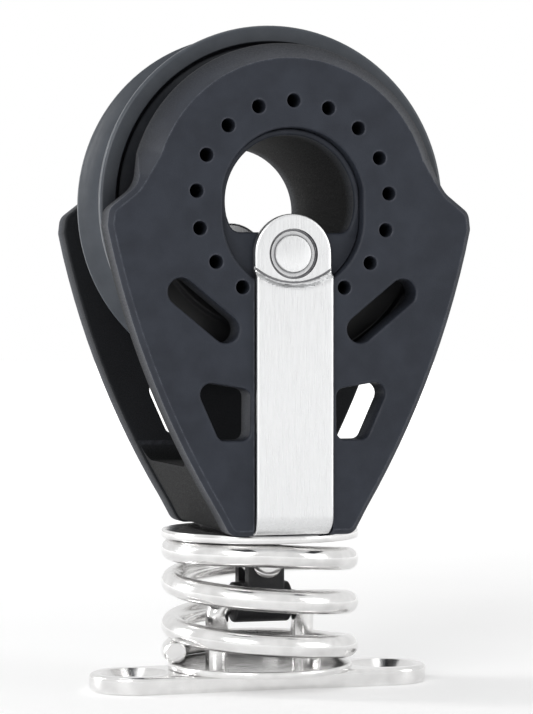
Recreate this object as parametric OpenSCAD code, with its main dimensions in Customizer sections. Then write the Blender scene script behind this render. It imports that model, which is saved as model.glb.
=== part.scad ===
// Single sheave block on a spring-loaded stand-up base, in millimetres.
// Origin: centre of the base's underside, on the deck. +Z is up, X runs along the base
// and across the cheeks, and Y is the sheave's axis. The front cheek is on -Y.

/* [Body] */
// Height of the sheave's axis above the deck
axle_height = 54; // [53:0.5:58]
// Thickness of the body over both cheek faces
body_width = 26.4; // [25.8:0.2:27.2]
// Radius of the cheek's round top
crown_radius = 16.9; // [16.6:0.1:17.4]
// Half width of the cheek across its shoulders
shoulder_half_width = 20.5; // [19.8:0.1:21]
// Half width of the cheek at its foot
foot_half_width = 7.1; // [6.6:0.1:7.6]
// Height of the body's underside above the deck
body_underside = 17.9; // [17.5:0.1:18.2]
// Thickness of the cheek's plate at its edge
plate_thickness = 3.9; // [3.3:0.1:4.3]

/* [Sheave and bearing] */
// Radius of the sheave over its flanges
sheave_radius = 19.8; // [19:0.2:20.6]
// Width of the sheave over its flanges
sheave_width = 11.8; // [11.2:0.1:12.2]
// Radius of the sheave at the bottom of the rope groove
groove_radius = 16.4; // [16:0.1:17.2]
// Radius of the circle that the ball centres run on
ball_circle_radius = 11.3; // [11.1:0.1:11.5]
// Diameter of a bearing ball
ball_diameter = 3; // [2.8:0.1:3]
// Number of balls in each row
ball_count = 22; // [16:1:22]
// Radius of the open hub
hub_radius = 7.3; // [6.5:0.1:7.4]

/* [Cheek openings] */
// Number of flushing holes round the hub
flush_hole_count = 17; // [10:1:20]
// Diameter of a flushing hole
flush_hole_diameter = 1.5; // [1:0.1:1.8]
// Radius of the circle that the flushing holes lie on
flush_circle_radius = 10.9; // [10.6:0.1:11.4]

/* [Strap] */
// Width of the strap
strap_width = 8.7; // [7.8:0.1:9]
// Thickness of the strap
strap_thickness = 1.2; // [1:0.1:1.3]

/* [Stand-up base] */
// Width of the base bar
base_width = 10.2; // [9.6:0.2:11]
// Thickness of the base bar
base_thickness = 2; // [1.8:0.1:2.2]
// Distance between the two deck screw holes
screw_spacing = 29; // [28.4:0.2:31]
// Diameter of a deck screw hole
screw_hole_diameter = 4.3; // [3.8:0.1:4.5]
// Height of the bail's bar above the deck
bail_height = 9.5; // [9.3:0.1:9.6]
// Diameter of the bail's bar
bail_diameter = 2.6; // [2.4:0.1:2.7]
// Height of the clevis pin above the deck
clevis_height = 14.1; // [14:0.05:14.2]
// Mean radius of the spring
spring_radius = 9.85; // [9.6:0.05:10]
// Diameter of the spring's wire
wire_diameter = 2.6; // [2.2:0.1:2.6]

/* [Hidden] */
$fn = 64;

nylon = "#3c414b";
bright = "#d9dcdf";
black_coat = "#17181b";
ball_white = "#eceae2";

// Overshoot of a cutting tool past the surface it cuts
over = 1;
// Clearance between neighbours of one body
seat_gap = 0.05;
// Radial clearance of a turning fit
run_gap = 0.05;

// Cheek
face_y = body_width / 2;
plate_y = face_y - plate_thickness;
boss_y = 6.4;
boss_radius = 13.3;
crown_bevel_depth = 3;
crown_bevel = 1.9;
edge_bevel = 0.9;
notch = [15.5, 2.4];
shoulder_top_z = -0.9;
shoulder_z = -2.6;
shoulder_round = 0.3;
foot_z = body_underside - axle_height;
foot_round = 1.2;
taper_bulge = 1.6;
taper_steps = 12;
slot_outer = [12.5, -9.8];
slot_inner = [7.6, -13.8];
slot_radius = 1.5;
window_round = 1;
window_corners = [[9.7, -20.5], [5.9, -21.4], [5.9, -24.8], [7.6, -24.8]];

// Hub opening: a circle, carried down into an oval that the web fills
opening_radius = 8;
oval_radius = 7.9;
oval_drop = 1.8;
web_top = -3.6;
web_recess = 1.3;
core_y = face_y - web_recess;
rivet_z = -5.65;
rivet_shank_radius = 1.3;
rivet_head_radius = 2.05;
rivet_recess_radius = 2.9;
rivet_recess_depth = 0.3;
rivet_proud = 0.1;

// Bearing
ball_radius = ball_diameter / 2;
race_radius = 10.5;
race_half_width = boss_y - seat_gap;
row_y = 3.4;
bore_radius = 12.1;
track_radius = ball_radius + 0.03;
rim_land = 0.7;
relief_depth = 0.5;
relief_inner = 14;
relief_outer = 18;

// Strap
head_radius = strap_width / 2;
joggle_overlap = 0.9;
channel_gap = 0.1;
leg_inner_y = face_y - 0.5;
leg_outer_y = leg_inner_y + strap_thickness;
strap_turn_z = body_underside + strap_thickness;
turn_outer_radius = 2.2;
turn_inner_radius = turn_outer_radius - strap_thickness;
strap_reach = 60;

// Head and swivel
spacer_top = 25.2;
spacer_inset = 0.2;
stud_radius = 2;
counterbore_radius = 4.2;
counterbore_floor = 21;
washer_radius = 3.9;
washer_thickness = 0.8;
nut_radius = 3.7;
nut_top = 24.6;
lock_pin_radius = 0.6;
lock_pin_half = 3.6;
dowel_radius = 1;
dowel_x = 6.6;
dowel_z = 21.6;
dowel_half = plate_y + 2;

// Seats, tang and toggle
spring_seat_radius = spring_radius + wire_diameter / 2;
spring_seat_top = body_underside - 0.1;
spring_seat_thickness = 1;
spring_seat_bottom = spring_seat_top - spring_seat_thickness;
collar_radius = 4.4;
tang_half_width = 2.1;
tang_half_thickness = 1.2;
pin_radius = 1.1;
pin_head_radius = 1.7;
pin_head_thickness = 0.7;
fork_half = 2.9;
fork_gap = 1.35;
fork_floor = 11.7;
barrel_radius = 2.3;
barrel_half = 3.3;
lower_seat_radius = 10.4;
lower_seat_thickness = 0.75;
lower_seat_top = base_thickness + lower_seat_thickness;

// Bail
bail_radius = bail_diameter / 2;
bail_leg_x = 5;
bail_bend = 1.6;
bail_foot = 0.4;

// Base
base_half = base_width / 2;
countersink_radius = 3.7;
countersink_depth = 1.4;

// Spring: flat end turns with the open turns between them
wire_radius = wire_diameter / 2;
end_turn = 0.45;
spring_low = lower_seat_top + wire_radius + 0.02;
spring_high = spring_seat_bottom - wire_radius - 0.02;
spring_pitch = 4.9;
open_turns = (spring_high - spring_low) / spring_pitch;
total_turns = open_turns + 2 * end_turn;
rings_per_turn = 36;
wire_sides = 12;
ring_count = ceil(total_turns * rings_per_turn);

// Height of the wire's centre after t turns from its lower end
function wire_z(t) =
    spring_low + spring_pitch * min(max(t - end_turn, 0), open_turns);

// Centre of the wire after t turns: left-handed, starting on -X and going round the back
function wire_centre(t) = [
    spring_radius * cos(180 - 360 * t),
    spring_radius * sin(180 - 360 * t),
    wire_z(t)
];

// Point k of the wire's round section after t turns
function wire_point(t, k) =
    let (around = 180 - 360 * t, a = 360 * k / wire_sides, c = wire_centre(t))
    [
        c.x + wire_radius * cos(a) * cos(around),
        c.y + wire_radius * cos(a) * sin(around),
        c.z + wire_radius * sin(a)
    ];

// Point of the cheek's right edge between shoulder and foot, for s from 0 to 1
function taper_point(s) =
    let (
        top = [shoulder_half_width, shoulder_z],
        bottom = [foot_half_width, foot_z + foot_round / 2],
        run = bottom - top,
        outward = [-run.y, run.x] / norm(run)
    )
    top + run * s + outward * taper_bulge * 4 * s * (1 - s);

// Right half of the cheek's lower outline, from notch to foot, relative to the axle
right_edge = concat(
    [notch],
    [[shoulder_half_width - shoulder_round, shoulder_top_z]],
    [for (i = [0 : taper_steps]) taper_point(i / taper_steps)],
    [[foot_half_width - foot_round, foot_z]]
);
left_edge = [for (i = [len(right_edge) - 1 : -1 : 0]) [-right_edge[i].x, right_edge[i].y]];

module at_axle() {
    translate([0, 0, axle_height]) children();
}

// Cylinder along Y from y0 to y1
module y_rod(radius, y0, y1) {
    translate([0, y0, 0]) rotate([-90, 0, 0]) cylinder(h = y1 - y0, r = radius);
}

// Cylinder along X from -half to +half
module x_rod(radius, half) {
    translate([-half, 0, 0]) rotate([0, 90, 0]) cylinder(h = 2 * half, r = radius);
}

// Flat XZ shape extruded along Y from y0 to y1
module along_y(y0, y1) {
    translate([0, y1, 0]) rotate([90, 0, 0]) linear_extrude(y1 - y0) children();
}

// Flat YZ shape extruded along X over both sides of the middle
module along_x(half) {
    translate([-half, 0, 0]) rotate([90, 0, 90]) linear_extrude(2 * half) children();
}

module both_sides() {
    children();
    mirror([1, 0, 0]) children();
}

module lower_outline() {
    polygon(concat(right_edge, left_edge));
}

// Hub opening as a flat shape, smaller by inset all round
module hub_opening(inset) {
    circle(opening_radius - inset);
    translate([0, -oval_drop]) circle(oval_radius - inset);
    translate([inset - oval_radius, -oval_drop]) square([2 * (oval_radius - inset), oval_drop]);
}

// Round-ended slot between two points
module slot(start, end) {
    hull() {
        translate(start) circle(slot_radius, $fn = 32);
        translate(end) circle(slot_radius, $fn = 32);
    }
}

module window() {
    hull() {
        for (corner = window_corners) {
            translate(corner) circle(window_round, $fn = 32);
        }
    }
}

// U-shaped inside face of the strap, as a flat YZ shape reaching up past the body
module strap_inside() {
    translate([0, strap_turn_z + turn_inner_radius]) {
        translate([-leg_inner_y, 0]) square([2 * leg_inner_y, strap_reach]);
        for (side = [-1, 1]) {
            translate([side * (leg_inner_y - turn_inner_radius), 0]) circle(turn_inner_radius);
        }
    }
    translate([turn_inner_radius - leg_inner_y, strap_turn_z]) {
        square([2 * (leg_inner_y - turn_inner_radius), strap_reach]);
    }
}

// U-shaped outside face of the strap, as a flat YZ shape
module strap_outside() {
    translate([0, body_underside + turn_outer_radius]) {
        translate([-leg_outer_y, 0]) square([2 * leg_outer_y, strap_reach]);
        for (side = [-1, 1]) {
            translate([side * (leg_outer_y - turn_outer_radius), 0]) circle(turn_outer_radius);
        }
    }
    translate([turn_outer_radius - leg_outer_y, body_underside]) {
        square([2 * (leg_outer_y - turn_outer_radius), strap_reach]);
    }
}

// Channel that the strap lies in, down both faces and under the foot
module strap_channel() {
    along_x(strap_width / 2 + channel_gap) {
        difference() {
            translate([-2 * face_y, body_underside - over]) {
                square([4 * face_y, axle_height - oval_drop - body_underside]);
            }
            strap_inside();
        }
    }
}

// Front cheek before its openings are cut
module cheek_blank() {
    at_axle() {
        y_rod(crown_radius, crown_bevel_depth - face_y, -plate_y);
        translate([0, -face_y, 0]) {
            rotate([-90, 0, 0]) {
                cylinder(h = crown_bevel_depth, r1 = crown_radius - crown_bevel, r2 = crown_radius);
            }
        }
        hull() {
            along_y(edge_bevel - face_y, -plate_y) lower_outline();
            along_y(-face_y, edge_bevel - face_y) offset(delta = -edge_bevel) lower_outline();
        }
        y_rod(boss_radius, -plate_y - seat_gap, -boss_y);
    }
}

module cheek() {
    difference() {
        cheek_blank();
        at_axle() {
            along_y(-face_y - over, -boss_y + over) hub_opening(0);
            for (i = [0 : flush_hole_count - 1]) {
                rotate([0, 360 * i / flush_hole_count, 0]) {
                    translate([0, 0, flush_circle_radius]) {
                        y_rod(flush_hole_diameter / 2, -face_y - over, -boss_y + over);
                    }
                }
            }
            both_sides() {
                along_y(-face_y - over, -plate_y + over) {
                    slot(slot_outer, slot_inner);
                    window();
                }
            }
        }
        strap_channel();
        dowels();
    }
}

module front_cheek() {
    color(nylon) cheek();
}

module back_cheek() {
    color(nylon) mirror([0, 1, 0]) cheek();
}

// Ring of round section cut into a race for one row of balls
module ball_track(y) {
    translate([0, y, 0]) {
        rotate([90, 0, 0]) {
            rotate_extrude() translate([ball_circle_radius, 0]) circle(track_radius);
        }
    }
}

module hub_core() {
    color(nylon) at_axle() {
        difference() {
            union() {
                along_y(-core_y, core_y) hub_opening(seat_gap);
                y_rod(race_radius, -race_half_width, race_half_width);
            }
            along_y(-core_y - over, core_y + over) {
                difference() {
                    circle(hub_radius);
                    translate([-hub_radius, web_top - hub_radius]) square([2 * hub_radius, hub_radius]);
                }
            }
            ball_track(-row_y);
            ball_track(row_y);
            translate([0, 0, rivet_z]) y_rod(rivet_shank_radius, -core_y - over, core_y + over);
        }
    }
}

// Half section of the sheave, with its axis on Y
module sheave_profile() {
    half = sheave_width / 2;
    lip = half - rim_land;
    depth = sheave_radius - groove_radius;
    groove_arc = (lip * lip + depth * depth) / (2 * depth);
    difference() {
        translate([bore_radius, -half]) square([sheave_radius - bore_radius, sheave_width]);
        translate([groove_radius + groove_arc, 0]) circle(groove_arc, $fn = 128);
        for (side = [-1, 1]) {
            translate([relief_inner, side * half - relief_depth]) {
                square([relief_outer - relief_inner, 2 * relief_depth]);
            }
            translate([ball_circle_radius, side * row_y]) circle(track_radius);
        }
    }
}

module sheave() {
    color("#202226") at_axle() rotate([90, 0, 0]) rotate_extrude($fn = 128) sheave_profile();
}

module ball_row(y) {
    color(ball_white) at_axle() {
        for (i = [0 : ball_count - 1]) {
            rotate([0, 360 * i / ball_count, 0]) {
                translate([ball_circle_radius, y, 0]) sphere(ball_radius, $fn = 24);
            }
        }
    }
}

module front_balls() {
    ball_row(-row_y);
}

module back_balls() {
    ball_row(row_y);
}

// Face of one strap leg with its round head, relative to the axle
module strap_face() {
    translate([0, rivet_z]) circle(head_radius);
    translate([-strap_width / 2, -strap_reach]) square([strap_width, strap_reach + rivet_z]);
}

// Front leg's head, stepped down into the hub opening and countersunk for the rivet
module strap_head() {
    difference() {
        along_y(-core_y - strap_thickness, -core_y) {
            intersection() {
                strap_face();
                hub_opening(2 * seat_gap);
            }
        }
        translate([0, 0, rivet_z]) {
            y_rod(rivet_shank_radius, -face_y - over, -core_y + over);
            y_rod(rivet_recess_radius, -face_y - over, rivet_recess_depth - core_y - strap_thickness);
        }
    }
}

module strap() {
    color(bright) {
        difference() {
            along_x(strap_width / 2) {
                difference() {
                    strap_outside();
                    strap_inside();
                }
            }
            at_axle() {
                along_y(-2 * face_y, 2 * face_y) {
                    difference() {
                        translate([-strap_width, -strap_width]) square([2 * strap_width, strap_reach]);
                        translate([-strap_width, -strap_reach]) square([2 * strap_width, strap_reach - opening_radius]);
                    }
                    hub_opening(joggle_overlap);
                }
            }
            cylinder(h = axle_height, r = stud_radius + run_gap);
        }
        at_axle() {
            strap_head();
            mirror([0, 1, 0]) strap_head();
        }
    }
}

module hub_rivet() {
    head_y = core_y + strap_thickness + rivet_proud;
    head_floor = core_y + strap_thickness - rivet_recess_depth;
    color(bright) at_axle() translate([0, 0, rivet_z]) {
        y_rod(rivet_shank_radius, -head_floor, head_floor);
        y_rod(rivet_head_radius, -head_y, -head_floor);
        y_rod(rivet_head_radius, head_floor, head_y);
    }
}

module head_spacer() {
    color(nylon) difference() {
        intersection() {
            at_axle() along_y(-plate_y, plate_y) offset(delta = -spacer_inset) lower_outline();
            translate([-shoulder_half_width, -face_y, body_underside]) {
                cube([2 * shoulder_half_width, body_width, spacer_top - body_underside]);
            }
        }
        strap_channel();
        cylinder(h = axle_height, r = stud_radius + run_gap);
        translate([0, 0, counterbore_floor]) cylinder(h = axle_height, r = counterbore_radius);
        dowels();
    }
}

module dowels() {
    color(bright) both_sides() translate([dowel_x, 0, dowel_z]) y_rod(dowel_radius, -dowel_half, dowel_half);
}

module lock_pin() {
    color(bright) translate([0, 0, (counterbore_floor + washer_thickness + nut_top) / 2]) {
        y_rod(lock_pin_radius, -lock_pin_half, lock_pin_half);
    }
}

module swivel_stud() {
    color(bright) difference() {
        union() {
            translate([0, 0, spring_seat_bottom]) cylinder(h = nut_top - spring_seat_bottom, r = stud_radius);
            translate([0, 0, spring_seat_bottom]) cylinder(h = spring_seat_thickness, r = collar_radius);
            translate([0, 0, clevis_height]) y_rod(tang_half_width, -tang_half_thickness, tang_half_thickness);
            translate([-tang_half_width, -tang_half_thickness, clevis_height]) {
                cube([2 * tang_half_width, 2 * tang_half_thickness, spring_seat_top - clevis_height]);
            }
        }
        translate([0, 0, clevis_height]) y_rod(pin_radius + run_gap, -fork_half, fork_half);
        lock_pin();
    }
}

module swivel_washer() {
    color(bright) translate([0, 0, counterbore_floor + seat_gap]) difference() {
        cylinder(h = washer_thickness, r = washer_radius);
        translate([0, 0, -over]) cylinder(h = washer_thickness + 2 * over, r = stud_radius + seat_gap);
    }
}

module swivel_nut() {
    floor_z = counterbore_floor + washer_thickness + seat_gap;
    color(bright) difference() {
        translate([0, 0, floor_z]) cylinder(h = nut_top - floor_z, r = nut_radius, $fn = 6);
        cylinder(h = axle_height, r = stud_radius);
        lock_pin();
    }
}

module spring_seat() {
    color(bright) translate([0, 0, spring_seat_bottom]) difference() {
        cylinder(h = spring_seat_thickness, r = spring_seat_radius);
        translate([0, 0, -over]) cylinder(h = spring_seat_thickness + 2 * over, r = collar_radius);
    }
}

module clevis_pin() {
    color(bright) translate([0, 0, clevis_height]) {
        y_rod(pin_radius, -fork_half, fork_half);
        y_rod(pin_head_radius, -fork_half - pin_head_thickness, -fork_half);
        y_rod(pin_head_radius, fork_half, fork_half + pin_head_thickness);
    }
}

module toggle() {
    color(black_coat) difference() {
        union() {
            translate([0, 0, bail_height]) x_rod(barrel_radius, barrel_half);
            translate([-tang_half_width, -fork_half, bail_height]) {
                cube([2 * tang_half_width, 2 * fork_half, clevis_height - bail_height]);
            }
            translate([0, 0, clevis_height]) y_rod(tang_half_width, -fork_half, fork_half);
        }
        translate([-barrel_half, -fork_gap, fork_floor]) {
            cube([2 * barrel_half, 2 * fork_gap, axle_height]);
        }
        translate([0, 0, bail_height]) x_rod(bail_radius + run_gap, 2 * barrel_half);
        translate([0, 0, clevis_height]) y_rod(pin_radius, -2 * fork_half, 2 * fork_half);
    }
}

module spring() {
    points = [
        for (i = [0 : ring_count])
            for (k = [0 : wire_sides - 1])
                wire_point(total_turns * i / ring_count, k)
    ];
    sides = [
        for (i = [0 : ring_count - 1])
            for (k = [0 : wire_sides - 1])
                let (next = (k + 1) % wire_sides, low = i * wire_sides, high = low + wire_sides)
                [low + k, low + next, high + next, high + k]
    ];
    start_cap = [[for (k = [wire_sides - 1 : -1 : 0]) k]];
    end_cap = [[for (k = [0 : wire_sides - 1]) ring_count * wire_sides + k]];
    color(bright) polyhedron(points, concat(sides, start_cap, end_cap));
}

module lower_seat() {
    color(bright) difference() {
        translate([0, 0, base_thickness]) cylinder(h = lower_seat_thickness, r = lower_seat_radius);
        both_sides() translate([bail_leg_x, 0, 0]) cylinder(h = bail_height, r = bail_radius);
    }
}

module bail() {
    bend_x = bail_leg_x - bail_bend;
    bend_z = bail_height - bail_bend;
    color(bright) {
        translate([0, 0, bail_height]) x_rod(bail_radius, bend_x);
        both_sides() {
            translate([bail_leg_x, 0, bail_foot]) cylinder(h = bend_z - bail_foot, r = bail_radius);
            translate([bend_x, 0, bend_z]) {
                rotate([90, 0, 0]) rotate_extrude(angle = 90) translate([bail_bend, 0]) circle(bail_radius);
            }
        }
    }
}

module base_plate() {
    screw_x = screw_spacing / 2;
    screw_radius = screw_hole_diameter / 2;
    color(bright) difference() {
        union() {
            translate([-screw_x, -base_half, 0]) cube([screw_spacing, base_width, base_thickness]);
            both_sides() translate([screw_x, 0, 0]) cylinder(h = base_thickness, r = base_half);
        }
        both_sides() {
            translate([screw_x, 0, -over]) cylinder(h = base_thickness + 2 * over, r = screw_radius);
            translate([screw_x, 0, base_thickness - countersink_depth]) {
                cylinder(h = countersink_depth, r1 = screw_radius, r2 = countersink_radius);
            }
            translate([bail_leg_x, 0, bail_foot]) cylinder(h = bail_height, r = bail_radius);
        }
    }
}

front_cheek();
back_cheek();
hub_core();
sheave();
front_balls();
back_balls();
strap();
hub_rivet();
head_spacer();
dowels();
swivel_stud();
swivel_washer();
swivel_nut();
lock_pin();
spring_seat();
clevis_pin();
toggle();
spring();
lower_seat();
bail();
base_plate();
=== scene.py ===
"""Looks of a single sheave block on its stand-up base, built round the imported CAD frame.

Shapes are worked out in millimetres, in the frame's own axes, and to_object() turns them
into metres. Z is up, Y is the sheave's axis and the front cheek is on -Y.
"""
import math

import bmesh
import bpy
from mathutils import Matrix, Vector
from mathutils.geometry import tessellate_polygon


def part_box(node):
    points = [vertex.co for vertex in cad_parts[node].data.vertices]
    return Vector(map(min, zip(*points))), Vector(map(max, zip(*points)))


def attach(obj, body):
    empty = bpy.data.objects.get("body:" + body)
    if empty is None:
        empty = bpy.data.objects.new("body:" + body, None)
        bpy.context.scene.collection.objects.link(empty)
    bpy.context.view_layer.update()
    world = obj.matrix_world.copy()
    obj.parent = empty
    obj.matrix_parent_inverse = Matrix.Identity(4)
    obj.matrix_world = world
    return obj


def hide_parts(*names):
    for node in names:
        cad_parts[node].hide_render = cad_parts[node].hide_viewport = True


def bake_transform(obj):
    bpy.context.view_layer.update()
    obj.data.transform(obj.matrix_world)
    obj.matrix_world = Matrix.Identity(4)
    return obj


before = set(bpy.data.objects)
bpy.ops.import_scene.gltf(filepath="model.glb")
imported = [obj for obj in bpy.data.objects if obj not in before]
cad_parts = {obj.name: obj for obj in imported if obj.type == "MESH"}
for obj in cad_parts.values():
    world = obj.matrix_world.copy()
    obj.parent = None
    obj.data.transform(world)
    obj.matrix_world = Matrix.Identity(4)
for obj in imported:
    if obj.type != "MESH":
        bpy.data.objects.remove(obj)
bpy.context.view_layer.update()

MM = 0.001


# ---------------------------------------------------------------- sizes from the frame

def extents(node):
    """Lowest and highest corners of a CAD node, in millimetres."""
    low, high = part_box(node)
    return low / MM, high / MM


SHEAVE_LOW, SHEAVE_HIGH = extents("sheave")
AXLE = (SHEAVE_LOW.z + SHEAVE_HIGH.z) / 2
SHEAVE_RADIUS = SHEAVE_HIGH.x
SHEAVE_HALF = SHEAVE_HIGH.y

CHEEK_LOW, CHEEK_HIGH = extents("front_cheek")
FACE_Y = -CHEEK_LOW.y
BOSS_Y = -CHEEK_HIGH.y
PLATE_Y = extents("head_spacer")[1].y
FOOT_Z = CHEEK_LOW.z
CROWN_RADIUS = CHEEK_HIGH.z - AXLE + 0.5

CORE_Y = extents("hub_core")[1].y
STRAP_LOW, STRAP_HIGH = extents("strap")
STRAP_HALF = STRAP_HIGH.x
STRAP_OUTER_Y = STRAP_HIGH.y
STRAP_INNER_Y = FACE_Y - 0.5
STRAP_THICKNESS = STRAP_OUTER_Y - STRAP_INNER_Y
SPACER_TOP = extents("head_spacer")[1].z
SEAT_LOW, SEAT_HIGH = extents("spring_seat")
LOWER_SEAT_LOW, LOWER_SEAT_HIGH = extents("lower_seat")
BASE_HIGH = extents("base_plate")[1]
SPRING_LOW, SPRING_HIGH = extents("spring")
PIN_LOW, PIN_HIGH = extents("clevis_pin")
PIN_Z = (PIN_LOW.z + PIN_HIGH.z) / 2
STUD_HIGH = extents("swivel_stud")[1]
RIVET_LOW, RIVET_HIGH = extents("hub_rivet")
RIVET_Z = (RIVET_LOW.z + RIVET_HIGH.z) / 2


# ---------------------------------------------------------------- sizes that the frame's boxes don't give

# Half widths of the cheeks at their shoulders and at their foot
SHOULDER_X = 20.5
FOOT_X = 7.1

# Radii of the spring's wire, the bail's rod, the rivet's shank, the swivel stud and the stud's holes
SPRING_WIRE = 1.3
BAIL_ROD = 1.3
RIVET_SHANK = 1.3
STUD_RADIUS = 2
STUD_HOLE = 2.05

# Height of the bail's bar and distance of its legs from the axis
BAR_Z = extents("bail")[1].z - BAIL_ROD
BAIL_X = 5

# Hub opening: its round upper part, and the oval below it
OPENING_RADIUS = 8
OVAL_RADIUS = 7.9
OVAL_DROP = 1.8

# Ball rows: circle that the balls' centres run on, radius of their track, and distance from the middle
BALL_CIRCLE = 11.3
BALL_TRACK = 1.53
BALL_ROW_Y = 3.4

# Distances from the middle between which the nylon goes from its painted shade on the inside faces to its
# outside colour
INSIDE_Y = 8.8
OUTSIDE_Y = 12.6


# ---------------------------------------------------------------- flat shapes

def arc(centre, radius, start, end, steps):
    """Points on an arc from start to end, in degrees, both ends included."""
    angles = [math.radians(start + (end - start) * i / steps) for i in range(steps + 1)]
    x, y = centre
    return [Vector((x + radius * math.cos(a), y + radius * math.sin(a))) for a in angles]


def circle(centre, radius, steps):
    """Closed counter-clockwise circle."""
    return arc(centre, radius, 0, 360, steps)[:-1]


def rounded(corners, steps=6):
    """Closed outline from (x, y, radius) corners, each turned into an arc of that radius."""
    points = []
    count = len(corners)
    for i, (x, y, radius) in enumerate(corners):
        here = Vector((x, y))
        if radius <= 0:
            points.append(here)
            continue
        before = Vector(corners[i - 1][:2]) - here
        after = Vector(corners[(i + 1) % count][:2]) - here
        half = before.angle(after) / 2
        reach = min(radius / math.tan(half), 0.49 * before.length, 0.49 * after.length)
        radius = reach * math.tan(half)
        centre = here + (before.normalized() + after.normalized()).normalized() * radius / math.sin(half)
        first = here + before.normalized() * reach - centre
        last = here + after.normalized() * reach - centre
        turn = first.angle_signed(last)
        for step in range(steps + 1):
            points.append(centre + Matrix.Rotation(-turn * step / steps, 2) @ first)
    return points


def inward(points):
    """Mitred inward normals of a closed counter-clockwise outline."""
    normals = []
    count = len(points)
    for i in range(count):
        back = (points[i] - points[i - 1]).normalized()
        ahead = (points[(i + 1) % count] - points[i]).normalized()
        first = Vector((-back.y, back.x))
        second = Vector((-ahead.y, ahead.x))
        normals.append((first + second) / max(1 + first.dot(second), 0.4))
    return normals


def edge_steps(radius, steps=4):
    """(inset, depth) pairs that round an edge, from the face to the wall."""
    if radius == 0:
        return [(0, 0)]
    angles = [math.pi / 2 * i / steps for i in range(steps + 1)]
    return [(radius * (1 - math.sin(a)), radius * (1 - math.cos(a))) for a in angles]


def smooth(x):
    """Smooth step from 0 to 1."""
    x = min(max(x, 0), 1)
    return x * x * (3 - 2 * x)


# ---------------------------------------------------------------- solids

class Shell:
    """Vertices and faces of one closed surface, in millimetres."""

    def __init__(self):
        self.points = []
        self.faces = []

    def ring(self, points):
        start = len(self.points)
        self.points.extend(Vector(p) for p in points)
        return list(range(start, len(self.points)))

    def wall(self, rings):
        for low, high in zip(rings, rings[1:]):
            for i in range(len(low)):
                j = (i + 1) % len(low)
                self.faces.append((low[i], low[j], high[j], high[i]))

    def cap(self, outer, holes=(), drop=1):
        """Fills between loops that lie in one plane; drop is the axis the plane leaves out."""
        keep = [axis for axis in range(3) if axis != drop]
        loops = [outer, *holes]

        def flatten(point):
            return Vector((point[keep[0]], point[keep[1]], 0))

        flat = [[flatten(self.points[i]) for i in loop] for loop in loops]
        order = [i for loop in loops for i in loop]
        self.faces.extend(tuple(order[k] for k in triangle) for triangle in tessellate_polygon(flat))


def lathe(profile, segments=96):
    """Shell turned about Z from a (radius, height) outline that is closed or starts and ends on the axis."""
    shell = Shell()
    on_axis = profile[0][0] == 0 and profile[-1][0] == 0
    ring_points = profile[1:-1] if on_axis else profile
    rings = []
    for radius, height in ring_points:
        angles = [2 * math.pi * i / segments for i in range(segments)]
        rings.append(shell.ring([(radius * math.cos(a), radius * math.sin(a), height) for a in angles]))
    if on_axis:
        for ring, (_, height) in ((rings[0], profile[0]), (rings[-1], profile[-1])):
            tip = shell.ring([(0, 0, height)])[0]
            shell.faces.extend((ring[i], ring[(i + 1) % segments], tip) for i in range(segments))
        shell.wall(rings)
    else:
        shell.wall(rings + rings[:1])
    return shell


def turned_disc(radius, low, high, edge, segments=96):
    """Solid disc about Z with rounded rims."""
    profile = [(0, low)]
    profile += [(radius - inset, low + depth) for inset, depth in edge_steps(edge)]
    profile += [(radius - inset, high - depth) for inset, depth in reversed(edge_steps(edge))]
    profile += [(0, high)]
    return lathe(profile, segments)


def turned_ring(inner, outer, low, high, edge, segments=96):
    """Flat ring about Z with rounded rims."""
    corners = [(inner, low, edge), (outer, low, edge), (outer, high, edge), (inner, high, edge)]
    return lathe([tuple(p) for p in rounded(corners, 4)], segments)


def plate(outer, holes, low, high, edge, hole_edge):
    """Plate in XY from low to high, with rounded edges and through holes."""
    shell = Shell()

    def loop(points, rim, side):
        normals = inward(points)
        rows = [(inset, low + depth) for inset, depth in edge_steps(rim)]
        rows += [(inset, high - depth) for inset, depth in reversed(edge_steps(rim))]
        rings = []
        for inset, height in rows:
            moved = [p + n * inset * side for p, n in zip(points, normals)]
            rings.append(shell.ring([(p.x, p.y, height) for p in moved]))
        shell.wall(rings)
        return rings[0], rings[-1]

    outer_low, outer_high = loop(outer, edge, 1)
    ends = [loop(hole, hole_edge, -1) for hole in holes]
    shell.cap(outer_low, [end[0] for end in ends], drop=2)
    shell.cap(outer_high, [end[1] for end in ends], drop=2)
    return shell


def tube(path, radius, sides, ends):
    """Round bar that follows a path; ends are the radii its two ends are eased over by."""
    shell = Shell()
    last = len(path) - 1
    tangents = [(path[min(i + 1, last)] - path[max(i - 1, 0)]).normalized() for i in range(len(path))]
    side = tangents[0].orthogonal().normalized()
    rings = []

    def section(centre, tangent, size):
        other = tangent.cross(side)
        angles = [2 * math.pi * k / sides for k in range(sides)]
        return shell.ring([centre + side * size * math.cos(a) + other * size * math.sin(a) for a in angles])

    for i, (centre, tangent) in enumerate(zip(path, tangents)):
        side = (side - tangent * side.dot(tangent)).normalized()
        if i == 0:
            for inset, depth in edge_steps(ends[0], 3)[:-1]:
                rings.append(section(centre + tangent * (depth - ends[0]), tangent, radius - inset))
        rings.append(section(centre, tangent, radius))
        if i == last:
            for inset, depth in reversed(edge_steps(ends[1], 3)[:-1]):
                rings.append(section(centre + tangent * (ends[1] - depth), tangent, radius - inset))
    shell.wall(rings)
    shell.faces.append(tuple(rings[0]))
    shell.faces.append(tuple(rings[-1]))
    return shell


# Turns that lay a shell's own Z along Y or along X
ALONG_Y = Matrix.Rotation(math.pi / 2, 4, "X")
ALONG_X = Matrix(((0, 0, 1, 0), (1, 0, 0, 0), (0, 1, 0, 0), (0, 0, 0, 1)))

# Small turn that keeps a round cutter's corners off the corners of the piece it cuts
OFF_GRID = Matrix.Rotation(math.radians(1.3), 4, "Z")


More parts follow.
